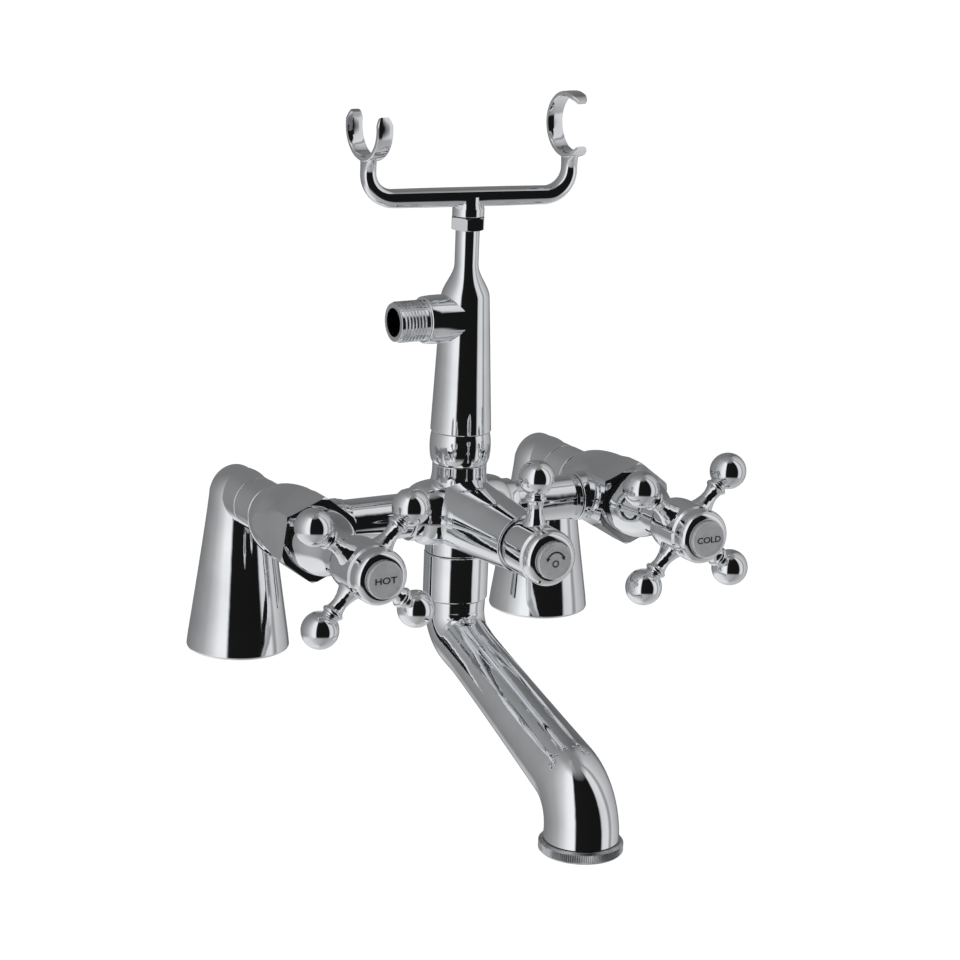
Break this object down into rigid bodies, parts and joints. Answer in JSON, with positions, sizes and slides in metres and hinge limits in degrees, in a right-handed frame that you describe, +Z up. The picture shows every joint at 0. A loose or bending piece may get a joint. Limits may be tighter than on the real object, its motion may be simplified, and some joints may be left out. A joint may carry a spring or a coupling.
{
  "type": "bath and shower mixer tap",
  "caption": "Rim-mounted bath mixer on flared legs, with cross-handle valves, a lever diverter, a swivel spout and a riser with hose outlet and handset cradle.",
  "frame": {"origin": "on the bath rim, midway between the axes of the two feet", "axes": "+Z up, -Y forward over the bath (handles and spout), -X towards the hot valve, +X towards the cold valve"},
  "size_m": [0.2534, 0.2497, 0.3475],
  "materials": {
    "chrome": "polished chrome plate on brass",
    "satin_chrome": "satin chrome with a fine knurl",
    "brass": "machined brass",
    "index": null,
    "rubber": "black EPDM rubber",
    "ceramic": "lapped white alumina ceramic",
    "plastic": "off-white acetal",
    "fibre": "red-brown fibre sheet",
    "steel": "stainless steel"
  },
  "bodies": {
    "mixer": {"left_leg": "chrome", "left_foot_gasket": "rubber", "left_union_washer": "fibre", "left_union_tail": "chrome", "left_union_collar": "chrome", "left_pipe": "chrome", "left_pipe_inner_o_ring": "rubber", "left_pipe_outer_o_ring": "rubber", "right_leg": "chrome", "right_foot_gasket": "rubber", "right_union_washer": "fibre", "right_union_tail": "chrome", "right_union_collar": "chrome", "right_pipe": "chrome", "right_pipe_inner_o_ring": "rubber", "right_pipe_outer_o_ring": "rubber", "hot_valve_body": "chrome", "hot_seat_seal": "rubber", "hot_headwork": "brass", "hot_fixed_disc": "ceramic", "hot_shroud": "chrome", "cold_valve_body": "chrome", "cold_seat_seal": "rubber", "cold_headwork": "brass", "cold_fixed_disc": "ceramic", "cold_shroud": "chrome", "central_body": "chrome", "diverter_headwork": "brass", "diverter_stem_seal": "rubber", "spout_nut": "chrome", "spout_friction_washer": "plastic", "riser_coupling": "chrome", "riser_lower_o_ring": "rubber", "riser_upper_o_ring": "rubber", "riser": "chrome", "cradle_lock_nut": "chrome"},
    "hot_handle": {"hot_handle": "chrome", "hot_spindle": "brass", "hot_moving_disc": "ceramic", "hot_handle_screw": "steel", "hot_index": "index"},
    "cold_handle": {"cold_handle": "chrome", "cold_spindle": "brass", "cold_moving_disc": "ceramic", "cold_handle_screw": "steel", "cold_index": "index"},
    "diverter_lever": {"diverter_lever": "chrome", "diverter_rotor": "brass", "diverter_handle_screw": "steel", "diverter_index": "index"},
    "spout": {"spout": "chrome", "spout_tail": "brass", "spout_lower_o_ring": "rubber", "spout_upper_o_ring": "rubber", "aerator_ring": "satin_chrome", "aerator_insert": "plastic", "aerator_washer": "rubber"},
    "cradle": {"cradle": "chrome"}
  },
  "joints": [
    {"name": "hot_handle_turn", "type": "hinge", "parent": "mixer", "child": "hot_handle", "pos_m": [-0.09, 0, 0.082], "axis": [0, -1, 0], "range_deg": [0, 90]},
    {"name": "cold_handle_turn", "type": "hinge", "parent": "mixer", "child": "cold_handle", "pos_m": [0.09, 0, 0.082], "axis": [0, -1, 0], "range_deg": [-90, 0]},
    {"name": "diverter_turn", "type": "hinge", "parent": "mixer", "child": "diverter_lever", "pos_m": [0, -0.0686, 0.082], "axis": [0, -1, 0], "range_deg": [-45, 45]},
    {"name": "spout_swivel", "type": "hinge", "parent": "mixer", "child": "spout", "pos_m": [0, -0.0686, 0], "axis": [0, 0, 1], "range_deg": [-80, 80]},
    {"name": "cradle_swivel", "type": "hinge", "parent": "mixer", "child": "cradle", "pos_m": [0, -0.0686, 0.2333], "axis": [0, 0, 1], "range_deg": [-90, 90]}
  ]
}
